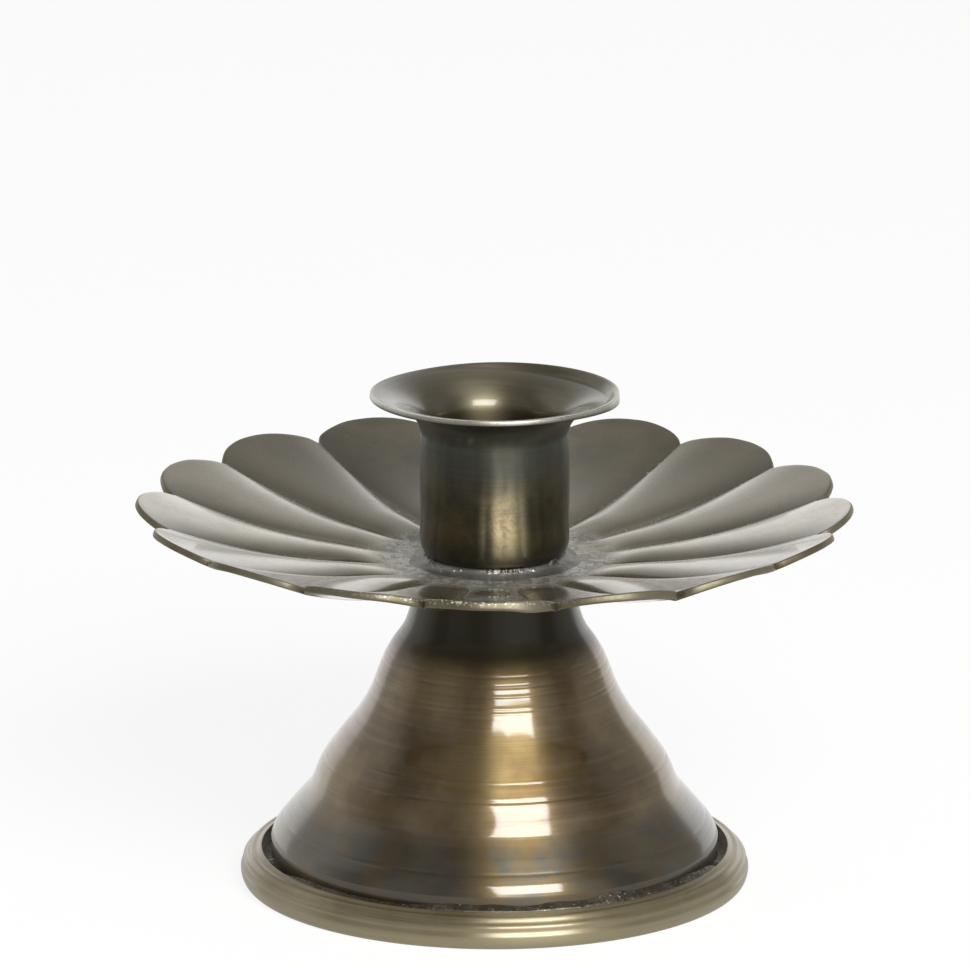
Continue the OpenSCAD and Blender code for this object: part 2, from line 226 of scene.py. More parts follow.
def bumps(angle, *rows):
    """Soft bumps round the axis: where each is, its half width in degrees, and its height."""
    return sum(high * np.exp(-(away(angle, degrees) / math.radians(wide)) ** 2)
               for degrees, wide, high in rows)


def unevenness(angle, along, seed, turns=7, reach=9.0, count=10):
    """A smooth wander of about -1 to 1, round the axis and along a piece."""
    pick = np.random.default_rng(seed)
    total = 0.0
    for _ in range(count):
        total = total + np.sin(pick.integers(1, turns + 1) * angle * pick.choice((-1, 1))
                               + along * TURN / (reach * pick.uniform(0.6, 2.4))
                               + pick.uniform(0, TURN))
    return total / math.sqrt(2 * count)


def round_axis(outline, columns, bend=None):
    """Rings of points round the axis from an outline, which a function may bend."""
    a, r, z, mark = np.broadcast_arrays(np.linspace(0, TURN, columns, endpoint=False),
                                        *outline.T[:, :, None])
    if bend:
        r, z = bend(a, r, z, mark)
    return np.stack([r * np.cos(a), r * np.sin(a), z], axis=2)


def make(name, node, finish, rings, marks=None, sharp=50.0):
    """Makes a closed piece, whose rings of points, in millimetres, are joined up one after
    another, gives it its finish, and puts it in the place of its node.

    Marks are values over its points for the finish. Edges over an angle are shaded sharp."""
    here = np.arange(rings[..., 0].size).reshape(rings.shape[:2])
    beside, after = np.roll(here, -1, axis=1), np.roll(here, -1, axis=0)
    faces = np.stack([here, beside, np.roll(after, -1, axis=1), after], axis=2).reshape(-1, 4)
    mesh = bpy.data.meshes.new(name)
    mesh.from_pydata((rings.reshape(-1, 3) * MM).tolist(), [], faces.tolist())
    for mark, values in (marks or {}).items():
        layer = mesh.attributes.new(mark, "FLOAT", "POINT")
        layer.data.foreach_set("value", np.asarray(values, np.float32).ravel())
    # The faces are turned outwards and shaded smooth
    work = bmesh.new()
    work.from_mesh(mesh)
    bmesh.ops.recalc_face_normals(work, faces=work.faces)
    for face in work.faces:
        face.smooth = True
    work.to_mesh(mesh)
    work.free()
    mesh.set_sharp_from_angle(angle=math.radians(sharp))
    mesh.materials.append(finish)
    piece = bpy.data.objects.new(name, mesh)
    bpy.context.scene.collection.objects.link(piece)
    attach(piece, "root")
    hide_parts(node)


def chosen(context):
    """The sizes and the finishes that are set in the scene."""
    return in_mm(context.scene.candlestick_sizes), context.scene.candlestick_finishes


# Finishes

def grey(value):
    """A grey as the RGBA that shaders take."""
    return (value, value, value, 1.0)


def add(tree, kind, inputs=(), out=0, stops=(), **settings):
    """Adds a shader node with its settings and links, and gives one of its outputs.

    Inputs come in order or by name: a socket is linked, a text is an sRGB hex colour and
    anything else is a value. Stops are the places and greys of a colour ramp."""
    made = tree.nodes.new("ShaderNode" + kind)
    for name, value in settings.items():
        setattr(made, name, value)
    for _ in stops[2:]:
        made.color_ramp.elements.new(0.5)
    for element, (place, value) in zip(made.color_ramp.elements if stops else (), stops):
        element.position = place
        element.color = grey(value)
    for name, value in (inputs if isinstance(inputs, dict) else dict(enumerate(inputs))).items():
        if isinstance(value, bpy.types.NodeSocket):
            tree.links.new(value, made.inputs[name])
        else:
            made.inputs[name].default_value = linear(value) if isinstance(value, str) else value
    return made.outputs[out] if made.outputs else None


def blank(name):
    """An empty material and its node tree."""
    material = bpy.data.materials.new(name)
    material.use_nodes = True
    material.node_tree.nodes.clear()
    return material, material.node_tree


def layered(tree, tone, *layers):
    """A tone with others laid over it.

    A layer is its tone and its share over the surface. A pattern can take the place of the
    share, with the range of it where the layer sets in, and the share that it comes to."""
    for shade, share, *reach in layers:
        if reach:
            low, high, most = reach
            share = add(tree, "MapRange", (share, low, high, 0.0, most))
        tone = add(tree, "Mix", {0: share, 6: tone, 7: shade}, 2, data_type="RGBA")
    return tone


def broken(tree, share, pattern, low, high, least, most):
    """The share of a layer, broken up by a pattern."""
    kept = add(tree, "MapRange", (pattern, low, high, least, most))
    return add(tree, "Math", (share, kept), operation="MULTIPLY")


def zone(tree, start, end, most=1.0, curve="LINEAR", side="Z"):
    """A share that sets in between two places along an axis, in millimetres."""
    place = add(tree, "TexCoord", out="Object")
    place = add(tree, "SeparateXYZ", (place,), side)
    return add(tree, "MapRange", (place, start * MM, end * MM, 0.0, most),
               interpolation_type=curve)


def patterns(tree, *rows):
    """Clouded patterns: how wide their patches are in millimetres, their detail, how rough
    that detail is, and how far they are folded."""
    place = add(tree, "TexCoord", out="Object")
    return [add(tree, "TexNoise", {"Vector": place, "Scale": 1 / (wide * MM), "Detail": detail,
                                   "Roughness": rough, "Distortion": folded})
            for wide, detail, rough, folded in rows]


def tool_rings(tree, share, pitch, detail, rough):
    """Rings round the axis as a lathe leaves them, a pitch in millimetres apart along the side.

    The share is how much they change on the way round."""
    place = add(tree, "TexCoord", out="Object")
    flat = add(tree, "VectorMath", (place, (1, 1, 0)), operation="MULTIPLY")
    radius = add(tree, "VectorMath", (flat,), "Value", operation="LENGTH")
    way = add(tree, "VectorMath", (flat,), operation="NORMALIZE")
    along = add(tree, "SeparateXYZ", (place,), "Z")
    along = add(tree, "Math", (along, radius), operation="SUBTRACT")
    along = add(tree, "Math", (along, 1 / (pitch * MM)), operation="MULTIPLY")
    way = add(tree, "VectorMath", {0: way, "Scale": share}, operation="SCALE")
    way = add(tree, "SeparateXYZ", (way,)).node.outputs
    place = add(tree, "CombineXYZ", (way["X"], way["Y"], along))
    return add(tree, "TexNoise", {"Vector": place, "Scale": 1.0, "Detail": detail,
                                  "Roughness": rough})


def metal(material, tone, rough, marks, strength, depth, turned=0.0, **constants):
    """Ends a finish as metal with marks in it, whose depth is in millimetres.

    The marks of a turned piece run round the axis, so they spread a highlight up and down."""
    tree = material.node_tree
    bump = add(tree, "Bump", {"Height": marks, "Strength": strength, "Distance": depth * MM})
    inputs = {"Base Color": tone, "Roughness": rough, "Normal": bump, "Metallic": 1.0}
    if turned:
        around = add(tree, "Tangent", direction_type="RADIAL", axis="Z")
        inputs.update({"Tangent": around, "Anisotropic": turned, "Anisotropic Rotation": 0.25})
    inputs.update({name.replace("_", " "): value for name, value in constants.items()})
    add(tree, "OutputMaterial", (add(tree, "BsdfPrincipled", inputs),))
    return material


def cup_finish(finish):
    """Turned iron with a near-black olive patina under thin lacquer, which gives a soft
    satin sheen. It is worn to bare metal at the lip."""
    material, tree = blank("lacquered dark patina on turned iron")
    # The rubbed mark is a painted highlight on the front
    wear, inside, rubbed = (add(tree, "Attribute", out="Fac", attribute_name=name)
                            for name in ("wear", "inside", "rubbed"))
    # The patina is thinner in patches of 6 mm. Folds of 1.5 mm break up the painted highlight at
    # the front, and the lip is worn in grains of 0.5 mm
    patches, folds, grain = patterns(tree, (6, 3, 0.55, 0), (1.5, 2, 0.5, 1.5), (0.5, 2, 0.5, 0))
    # Polishing rings 0.3 mm apart
    rings = tool_rings(tree, 1.2, 0.3, 3, 0.6)
    bore = layered(tree, finish.cup_inside, ("6b4a36", zone(tree, 75, 72)))
    tone = layered(
        tree, finish.cup_patina,
        (finish.cup_rub, patches, 0.45, 0.7, 1.0),
        # Under the flare the patina is painted bluer and lighter, a painted reflection of the
        # pale floor in front
        ("676b68", zone(tree, 64, 74, 0.7, "SMOOTHSTEP")),
        # By the solder it is darker: painted shade where the cup meets the pan
        ("2f2c24", zone(tree, 62, 56, 0.7, "SMOOTHSTEP")),
        # A golden painted highlight on the front, broken up by folds
        ("a8997a", broken(tree, rubbed, folds, 0.35, 0.6, 0.2, 0.55)),
        (bore, inside),
        ("3a3626", rings, 0.35, 0.75, 0.25),
        ("e0dccb", broken(tree, wear, grain, 0.3, 0.5, 0.7, 1.0)))
    rough = add(tree, "MapRange", (patches, 0.3, 0.7, 0.32, 0.42))
    rough = add(tree, "Math", (inside, 0.1, rough), operation="MULTIPLY_ADD")
    lacquer = add(tree, "MapRange", (inside, 0.0, 1.0, 0.3, 1.0))
    return metal(material, tone, rough, rings, 0.08, 0.04, 0.6, Coat_Weight=lacquer,
                 Coat_Roughness=0.14)


def pan_finish(finish):
    """Pressed sheet iron, rubbed to a soft silver-grey, with dirt and painted shade in its
    valleys. Part of its surface is patina and part bare metal, under a glossy lacquer."""
    material, tree = blank("rubbed patina on pressed sheet iron")
    valley, rim, boss, painted_glints, painted_flank_light = (
        add(tree, "Attribute", out="Fac", attribute_name=name)
        for name in ("valley", "rim", "boss", "painted_glints", "painted_flank_light"))
    # Clouds of 9 mm in the patina, fine rubbing marks of 0.5 mm, and smudges of 2.5 mm, as
    # left by wiping
    clouds, marks, smudges = patterns(
        tree, (9, 4, 0.55, 0), (0.5, 3, 0.65, 0), (2.5, 4, 0.6, 1.2))
    # Dirt and painted shade in the valleys
    dirt_and_shade = broken(tree, valley, marks, 0.4, 0.6, 0.1, 0.6)
    old = layered(tree, "5f5843", ("81775c", clouds, 0.42, 0.62, 1.0))
    tin = layered(tree, finish.solder, ("dedcd4", smudges, 0.42, 0.56, 1.0),
                  ("605c52", marks, 0.52, 0.64, 0.7))
    edge = layered(
        tree, finish.pan_edge,
        ("6f664f", clouds, 0.4, 0.65, 1.0),
        # Painted glints, broken into specks, on the upper corner of the edge at the front
        ("f2ecdc", broken(tree, painted_glints, marks, 0.55, 0.62, 0.0, 1.0)),
        # Dirt and painted shade in the valleys and nicks of the edge
        ("3b3628", dirt_and_shade))
    tone = layered(
        tree, finish.pan_patina,
        (finish.pan_dark, clouds, 0.42, 0.72, 0.8),
        (finish.pan_dark, smudges, 0.58, 0.74, 0.35),
        # The petals at the back kept more of their dark patina
        (old, zone(tree, 8, 40, 0.8, side="Y")),
        # Painted shade on the flanks turned to the front, where the value is under an even 0.5,
        # and painted highlights on the others, where it is over
        ("575140", painted_flank_light, 0.5, 0.0, 0.75),
        ("e2dccb", painted_flank_light, 0.5, 1.0, 0.75),
        # Dirt and painted shade in the valleys
        ("4f493a", dirt_and_shade),
        # Painted highlights, broken into specks, along the valleys
        ("d9d5c8", broken(tree, valley, marks, 0.38, 0.32, 0.0, 1.0)),
        (tin, broken(tree, boss, clouds, 0.3, 0.6, 0.4, 1.0)),
        (edge, rim))
    dull = add(tree, "Math", (boss, rim), operation="MAXIMUM")
    rough = add(tree, "MapRange", (smudges, 0.3, 0.7, 0.2, 0.3))
    rough = add(tree, "Math", (dull, 0.2, rough), operation="MULTIPLY_ADD")
    lacquer = add(tree, "Math", (1.0, dull), operation="SUBTRACT")
    return metal(material, tone, rough, marks, 0.05, 0.03, Metallic=0.7, Coat_Weight=lacquer,
                 Coat_Roughness=0.1, Coat_IOR=1.7)


def cone_finish(finish):
    """Turned iron with a bronze-brown patina and golden rub-through, under a clear lacquer
    that mirrors the room over the metal's broad glow."""
    material, tree = blank("lacquered bronze patina on turned iron")
    # Tool rings 0.25 mm apart and broader bands 2 mm apart
    rings, bands = tool_rings(tree, 1.5, 0.25, 3, 0.65), tool_rings(tree, 0.8, 2.0, 2, 0.5)
    # Patches of 11 mm in the patina and clouds of 7 mm at the foot
    patches, clouds = patterns(tree, (11, 3, 0.55, 0), (7, 3, 0.5, 0.5))
    # Painted shade, near-black, under the pan
    top = zone(tree, 38, 42, curve="SMOOTHSTEP")
    # The foot of the side is browner in places and blue-grey in others
    foot = layered(tree, "675a3d", ("50534f", clouds, 0.42, 0.58, 1.0))
    tone = layered(
        tree, finish.cone_patina,
        ("755f3b", patches, 0.4, 0.6, 1.0),
        (finish.cone_rub, bands, 0.5, 0.75, 0.4),
        ("4d4127", rings, 0.5, 0.75, 0.3),
        (finish.cone_dark, top),
        (foot, zone(tree, 18, 12, 0.75, "SMOOTHSTEP")))
    rough = add(tree, "MapRange", (rings, 0.3, 0.7, 0.36, 0.46))
    lacquer = add(tree, "MapRange", (top, 0.0, 1.0, 1.0, 0.5))
    return metal(material, tone, rough, rings, 0.15, 0.05, 0.85, Coat_Weight=lacquer,
                 Coat_Roughness=0.1, Coat_IOR=1.7)


def ring_finish(finish):
    """Turned iron with an olive-tan patina and a satin sheen. It is painted lighter low down, as
    a painted highlight."""
    material, tree = blank("olive patina on grooved iron")
    # Tool rings 0.35 mm apart and patches of 9 mm
    rings = tool_rings(tree, 1.5, 0.35, 3, 0.6)
    patches, = patterns(tree, (9, 3, 0.55, 0))
    tone = layered(
        tree, finish.ring_patina,
        ("948869", patches, 0.35, 0.65, 1.0),
        ("5f5740", rings, 0.45, 0.75, 0.5),
        # A painted highlight: lighter low down on the ring
        ("b3a786", zone(tree, 4.5, 1.5, 0.8)))
    rough = add(tree, "MapRange", (rings, 0.3, 0.7, 0.34, 0.44))
    return metal(material, tone, rough, rings, 0.15, 0.05, 0.85, Metallic=0.8, Coat_Weight=0.6,
                 Coat_Roughness=0.15)


def solder_finish(finish):
    """Tin solder, brushed by hand and dulled, which gives a grey glint without a mirror."""
    material, tree = blank("brushed tin solder")
    # Grain of 0.7 mm, smears of 4 mm and pits of 0.4 mm
    grain, smears, pits = patterns(tree, (0.7, 4, 0.7, 0), (4, 3, 0.5, 0.6), (0.4, 2, 0.5, 0))
    # At the foot it is patinated with the rest, with dark pits, bright grains and rust
    aged = layered(
        tree, "6e6a5d",
        ("545045", smears, 0.4, 0.6, 1.0),
        ("25221c", pits, 0.36, 0.31, 1.0),
        ("cfcabb", pits, 0.66, 0.7, 1.0),
        ("6b4a2c", smears, 0.6, 0.68, 0.8))
    tone = layered(
        tree, finish.solder,
        ("86847c", smears, 0.35, 0.65, 1.0),
        ("5a574e", grain, 0.55, 0.75, 0.4),
        (aged, zone(tree, 20, 10)),
        # Painted shade darkens the solder where it meets the cup
        ("3a372e", zone(tree, 54.5, 55.2, 0.8)))
    rough = add(tree, "MapRange", (grain, 0.3, 0.7, 0.3, 0.5))
    return metal(material, tone, rough, grain, 0.2, 0.08, Metallic=0.8)


def steel_finish(name, shade, dull):
    """Steel with a thin dulled skin, such as zinc plating or a tempering scale."""
    material, tree = blank(name)
    # Grain of 0.8 mm
    grain, = patterns(tree, (0.8, 4, 0.6, 0))
    tone = layered(tree, shade, (dull, grain, 0.4, 0.7, 0.6))
    rough = add(tree, "MapRange", (grain, 0.3, 0.7, 0.3, 0.45))
    return metal(material, tone, rough, grain, 0.1, 0.02)


def turn_cup(size, finish):
    """Turns the cup: straight bore, rounded foot and wide flare, bent a little by hand."""
    half = size.cup_wall / 2
    # The flare turns outwards by this angle
    sweep = 78.0
    turn = math.radians(sweep)
    open_up, stand = 1 - math.cos(turn), math.sin(turn)
    outside = size.bore_radius + size.cup_wall
    bend_r, bend_z = outside - size.cup_corner, size.pan_top + size.cup_corner
    middle = size.bore_radius + half
    flare_z = size.cup_top - size.flare_height
    reach, rise = size.rim_radius - half - middle, size.flare_height - half

    def flare(degrees, side):
        """Points beside the flare's middle line, and how much they follow the bent lip."""
        a = np.radians(degrees)
        way = np.column_stack([reach * np.sin(a) / open_up, rise * np.cos(a) / stand])
        way /= np.linalg.norm(way, axis=1)[:, None]
        r = middle + reach * (1 - np.cos(a)) / open_up + side * way[:, 1]
        z = flare_z + rise * np.sin(a) / stand - side * way[:, 0]
        return np.column_stack([r, z, (degrees / sweep) ** 1.6])

    tip = np.array([middle + reach, flare_z + rise])
    out = np.array([reach * math.sin(turn) / open_up, rise * math.cos(turn) / stand])
    out /= np.linalg.norm(out)
    up = np.array([-out[1], out[0]])
    lip_way = math.degrees(math.atan2(out[1], out[0]))
    edge = size.lip_edge
    low = tip + (out - up) * (half - edge)
    high = tip + (out + up) * (half - edge)
    # Rings lie closer together near the lip
    top = flare(np.concatenate([np.linspace(sweep - 0.5, 70, 26), np.linspace(69.5, 0, 30)]),
                -half)
    # The lip turns up over its outermost 2 mm
    top[:, 2] *= 1 - ease(size.rim_radius - 1.9, size.rim_radius - 0.4, top[:, 0])
    inner = size.cup_corner - size.cup_wall
    floor_z = size.pan_top + size.cup_floor
    outer = joined(
        run((size.hole_radius, size.pan_top), (bend_r, size.pan_top), 8),
        arc((bend_r, bend_z), size.cup_corner, 270, 360, 16),
        run((outside, bend_z), (outside, flare_z), 50),
        flare(np.linspace(0, sweep, 36), half),
        arc(low, edge, lip_way - 90, lip_way, 5, 1.0),
        arc(high, edge, lip_way, lip_way + 90, 5),
    )
    outline = joined(
        outer, top,
        run((size.bore_radius, flare_z), (size.bore_radius, floor_z + inner), 24),
        arc((size.bore_radius - inner, floor_z + inner), inner, 360, 270, 10),
        run((size.bore_radius - inner, floor_z), (size.hole_radius, floor_z), 6),
    )

    def bend(a, r, z, mark):
        """Bends the lip up most at the back right, and adds the slight waves of the wall."""
        off = np.clip(np.abs(away(a, 38)) / math.radians(100), 0, 1)
        z = z - mark * size.lip_turn_up * np.cos(off * math.pi / 2) ** 2
        # The rim leans back, and more so at the back left
        lean = size.rim_lean / 2 * (1 + np.sin(a)) + bumps(a, (135, 35, 0.35))
        z = z - lean * np.clip((z - flare_z) / size.flare_height, 0, 1) ** 1.5
        wall = ease(size.pan_top + 4.5, size.pan_top + 7, z) * (r > size.bore_radius + 0.3)
        r = r + 0.03 * wall * unevenness(a, z, 4, turns=5, reach=11)
        at_lip = ease(size.rim_radius - 1.5, size.rim_radius, r)
        r = r - 0.05 * at_lip * (1 + unevenness(a, z, 8, turns=9, reach=30)) / 2
        return r, np.minimum(z - 0.02 * at_lip, size.cup_top)

    rings = round_axis(outline, AROUND, bend)
    x, y, z = np.moveaxis(rings, 2, 0)
    wear = ease(size.rim_radius - 0.75, size.rim_radius - 0.45, np.hypot(x, y)) \
        * ease(size.cup_top - 0.75, size.cup_top - 0.25, z)
    inside = np.repeat(np.arange(len(outline))[:, None] >= len(outer), AROUND, axis=1)
    # A patch at the front is a painted highlight
    rubbed = bumps(np.arctan2(y, x), (276, 13, 1.0)) * (1 - inside) \
        * np.exp(-((z - 63.5) / 4.2) ** 4)
    make("turned_cup", "candle_cup", cup_finish(finish), rings,
         {"wear": wear, "inside": inside, "rubbed": rubbed})


class CANDLESTICK_OT_cup(bpy.types.Operator):
    """Turned cup with a straight bore, a rounded foot and a wide flare"""

    bl_idname = "candlestick.cup"
    bl_label = "Candle cup"

    def execute(self, context):
        turn_cup(*chosen(context))
        return {"FINISHED"}


def press_pan(size, finish):
    """Presses the pan: raised petals, sharp valleys and a scalloped, nicked rim."""
    per_petal = 28
    step = np.arange(size.petals * per_petal) / per_petal
    t = step % 1
    # Columns lie closer together beside the valleys
    u = t - 0.6 * np.sin(TURN * t) / TURN
    petal = np.floor(step).astype(int)
    angle = size.petal_turn + (petal + u) * TURN / size.petals
    notch = size.tip_radius - size.notch_depth
    pick = np.random.default_rng(12)
    short = pick.uniform(0, 0.3, size.petals)[petal]
    proud = pick.uniform(0.9, 1.08, size.petals)[petal]
    # The front petal's tip hangs lower than the rest, and its rim is burred over
    lower = bumps(angle, (268, 9, 0.9), (247, 7, 0.4))
    burr = bumps(angle, (276, 3.5, 0.7), (264, 14, 0.4), (297, 10, 0.4))
    # At the right and left the valleys dip deeper to the rim
    dips = bumps(angle, (308, 26, 0.45), (222, 24, 0.3))
    # A small nick, filed by hand, ends each valley, and at the front they are larger
    beside = np.minimum(u, 1 - u) * TURN / size.petals
    nearest = (petal + (u > 0.5)) % size.petals
    nick_depth = pick.uniform(0.3, 1.0, size.petals)
    nick_width = pick.uniform(0.35, 0.65, size.petals)
    for valley, depth, width in ((9, 1.2, 0.6), (10, 1.7, 1.0), (12, 0.8, 0.6), (13, 1.3, 0.9),
                                 (14, 1.2, 0.7)):
        nick_depth[valley % size.petals], nick_width[valley % size.petals] = depth, width
    nick = nick_depth[nearest] * np.exp(-(beside * notch / nick_width[nearest]) ** 2)
    lobe = 1 - np.abs(2 * u - 1) ** 2.24
    scallop = size.tip_radius - size.notch_depth * (1 - lobe) - short * lobe - nick \
        - 0.05 * (1 + unevenness(angle, 0 * angle, 3, turns=90))
    # A valley has a small round bottom
    across = np.sqrt((1 - np.abs(2 * u - 1) ** 2.2) ** 1.5 + 0.05 ** 2) - 0.05
    # Painted shade on the flanks turned to the front, and painted highlights on the others
    flank = np.where(np.cos(angle) > 0, u, 1 - u)
    shaded = np.abs(np.cos(angle)) * np.exp(-(flank / 0.24) ** 2)
    bright = np.abs(np.cos(angle)) * np.exp(-((1 - flank) / 0.16) ** 2)
    # The sheet is bent a little, up at the front and the left
    bent = -0.3 * np.sin(angle) - 0.2 * np.cos(angle) \
        + 0.12 * unevenness(angle, 0 * angle, 6, turns=8)

    def ring(radius, z):
        """One ring of points over the sheet's columns."""
        return np.stack([radius * np.cos(angle), radius * np.sin(angle), z + 0 * angle], axis=1)

    def sheet(s, depth, inset):
        """One ring of the sheet: s runs from the flat middle to the rim."""
        r = size.boss_radius + s * (scallop - size.boss_radius) - inset
        x = (r - size.boss_radius) / (notch - size.boss_radius)
        # A small share of the rise is straight, and the rest grows steeper outwards
        straight = 0.14
        rise = size.pan_rise * (straight * x + (1 - straight) * x * x)
        slope = size.pan_rise / (notch - size.boss_radius) \
            * (straight + 2 * (1 - straight) * x)
        lean = np.arctan(slope) * (s > 0)
        # A petal rises over the first quarter of the way and flattens towards the rim
        start = 1 - (1 - min(1, s / 0.26)) ** 2
        swell = size.petal_swell * proud * across * start * (1 - 0.72 * s ** 3)
        swell = swell - lower * across * s ** 8 - dips * (1 - across) * s ** 6
        depth = depth * (1 + burr / size.pan_sheet * ease(0.94, 1.0, s))
        return ring(r + depth * np.sin(lean),
                    size.pan_top + rise + swell + bent * x * x - depth * np.cos(lean))

    places = np.linspace(0, 1, 61) ** 1.05
    edge = size.sheet_round
    inside = np.linspace(size.hole_radius, size.boss_radius, 12)[:-1]
    # Rings of points, whether each is on top, and its share of the rim's edge
    kept = [(ring(radius, size.pan_top), 1.0, 0.0) for radius in inside]
    kept += [(sheet(s, 0.0, edge * s ** 8), 1.0, 0.0) for s in places[:-1]]
    turns = np.radians((0, 22.5, 45, 67.5, 90))
    down, back = edge * (1 - np.cos(turns)), edge * (1 - np.sin(turns))
    kept += [(sheet(1.0, depth, inset), 1.0, share)
             for depth, inset, share in zip(down, back, (0.0, 0.5, 1.0, 1.0, 1.0))]
    kept += [(sheet(1.0, size.pan_sheet - depth, inset), 0.0, 1.0)
             for depth, inset in zip(down[::-1], back[::-1])]
    kept += [(sheet(s, size.pan_sheet, edge * s ** 8), 0.0, ease(0.8, 0.95, s))
             for s in places[-2::-2]]
    kept += [(ring(radius, size.pan_top - size.pan_sheet), 0.0, 0.0) for radius in inside[::-2]]
    rings, top, rim = (np.array(part) for part in zip(*kept))
    top, rim = top[:, None], rim[:, None]
    r = np.hypot(rings[:, :, 0], rings[:, :, 1])
    past = r - size.boss_radius
    # Dirt and painted shade lie in the valleys, and the painted shade spreads round the deepest
    # nicks
    spot = 0.4 + (nick_depth[nearest] > 1) * ease(35, 38.5, past)
    make("fluted_pan", "drip_pan", pan_finish(finish), rings, {
        "valley": np.exp(-(beside * r / spot) ** 2) * ease(1.5, 5, past) * np.maximum(top, rim),
        "rim": rim + 0 * r,
        "boss": (1 - ease(0.5, 4.5, past)) * top,
        "painted_glints": bumps(angle, (263, 16, 1.0)) * rim * top,
        "painted_flank_light": 0.5 + 0.5 * (bright - shaded) * ease(2, 7, past) * top}, sharp=60)


class CANDLESTICK_OT_pan(bpy.types.Operator):
    """Pressed drip pan of raised petals with sharp valleys and a scalloped rim"""

    bl_idname = "candlestick.pan"
    bl_label = "Drip pan"

    def execute(self, context):
        press_pan(*chosen(context))
        return {"FINISHED"}


# The cone's side, as shares of the way up from the skirt and of the spread from the neck
CONE_SIDE = ((0, 1), (0.02, 0.986), (0.043, 0.963), (0.1, 0.878), (0.165, 0.778),
             (0.195, 0.738), (0.29, 0.663), (0.38, 0.55), (0.47, 0.425), (0.56, 0.333),
             (0.65, 0.27), (0.7, 0.232), (0.745, 0.183), (0.79, 0.125), (0.835, 0.087), (1, 0))
# Tool grooves in the cone's side: height, depth and half width in millimetres
CONE_GROOVES = ((38.8, 0.06, 0.2), (37.3, 0.07, 0.2), (35.9, 0.05, 0.18), (34.1, 0.05, 0.2),
                (33.3, 0.04, 0.2), (23.2, 0.04, 0.2), (20.8, 0.08, 0.2), (10.6, 0.06, 0.2))


def turn_cone(size, finish):
    """Turns the hollow cone: gentle waves, tool grooves and a straight skirt."""
    under_pan = size.pan_top - size.pan_sheet
    edge = size.neck_round
    tall = under_pan - edge - size.skirt_top
    t = np.linspace(0, 1, 280)
    r = size.neck_radius + (size.skirt_radius - size.neck_radius) * flowing(CONE_SIDE, t)
    z = size.skirt_top + tall * t
    way = np.gradient(np.column_stack([r, z]), axis=0)
    way /= np.linalg.norm(way, axis=1)[:, None]
    dip = sum(depth * np.exp(-((z - at) / wide) ** 2) for at, depth, wide in CONE_GROOVES)
    outside = np.column_stack([r - dip * way[:, 1], z + dip * way[:, 0], t])
    thick = size.cone_wall
    inside = np.column_stack([r - thick * way[:, 1], z + thick * way[:, 0], t])[::4]
    inside = inside[(inside[:, 1] < under_pan - thick) & (inside[:, 1] > size.skirt_top)]
    outline = joined(
        run((size.skirt_radius, size.ledge_height), (size.skirt_radius, size.skirt_top), 14),
        outside,
        arc((size.neck_radius - edge, under_pan - edge), edge, 0, 90, 8, 1.0),
        run((size.neck_radius - edge, under_pan), (size.hole_radius, under_pan), 6, 1.0),
        run((size.hole_radius, under_pan - thick),
            (inside[-1, 0] - 0.05, under_pan - thick), 6, 1.0),
        inside[::-1],
        run((size.skirt_radius - thick, size.skirt_top - 0.2),
            (size.skirt_radius - thick, size.ledge_height), 6),
    )

    def bend(a, r, z, mark):
        """Gives the side the slight waves of hand polishing, but not near other pieces."""
        side = ease(9, 14, z) * (1 - ease(48, 51, z))
        return r + 0.03 * side * unevenness(a, z, 21, turns=6, reach=14), z

    make("turned_cone", "base_cone", cone_finish(finish),
         round_axis(outline, AROUND, bend), sharp=55)


class CANDLESTICK_OT_cone(bpy.types.Operator):
    """Turned hollow cone with gentle waves, tool grooves and a straight skirt"""

    bl_idname = "candlestick.cone"
    bl_label = "Base cone"

    def execute(self, context):
        turn_cone(*chosen(context))
        return {"FINISHED"}


def turn_foot_ring(size, finish):
    """Turns the foot ring: a grooved shoulder, and a ledge inside for the cone."""
    lip = size.skirt_radius + size.channel
    belly = lip + size.shoulder
    bore = size.skirt_radius - size.cone_wall - size.ledge_reach
    t = np.linspace(0, 1, 90)
    # Three grooves lie side by side on the shoulder
    dip = size.ring_groove * (1 - np.cos(TURN * 3 * t)) / 2
    rise = size.ring_height - size.belly_height - dip
    shoulder = np.column_stack([lip + (size.shoulder - dip) * np.cos(t * math.pi / 2),
                                size.belly_height + rise * np.sin(t * math.pi / 2), t])
    outline = joined(
        run((bore, 0), (belly - size.undercut, 0), 6),
        arc((belly - size.undercut, size.belly_height), (size.undercut, size.belly_height),
            -90, 0, 13),
        shoulder,
        run((lip, size.ring_height), (lip, size.ledge_height), 8),
        run((lip, size.ledge_height), (bore, size.ledge_height), 5),
        run((bore, size.ledge_height), (bore, 0), 6),
    )
    make("grooved_foot_ring", "foot_ring", ring_finish(finish),
         round_axis(outline, AROUND))


class CANDLESTICK_OT_foot_ring(bpy.types.Operator):
    """Turned foot ring with a grooved shoulder and a ledge inside"""

    bl_idname = "candlestick.foot_ring"
    bl_label = "Foot ring"

    def execute(self, context):
        turn_foot_ring(*chosen(context))
        return {"FINISHED"}


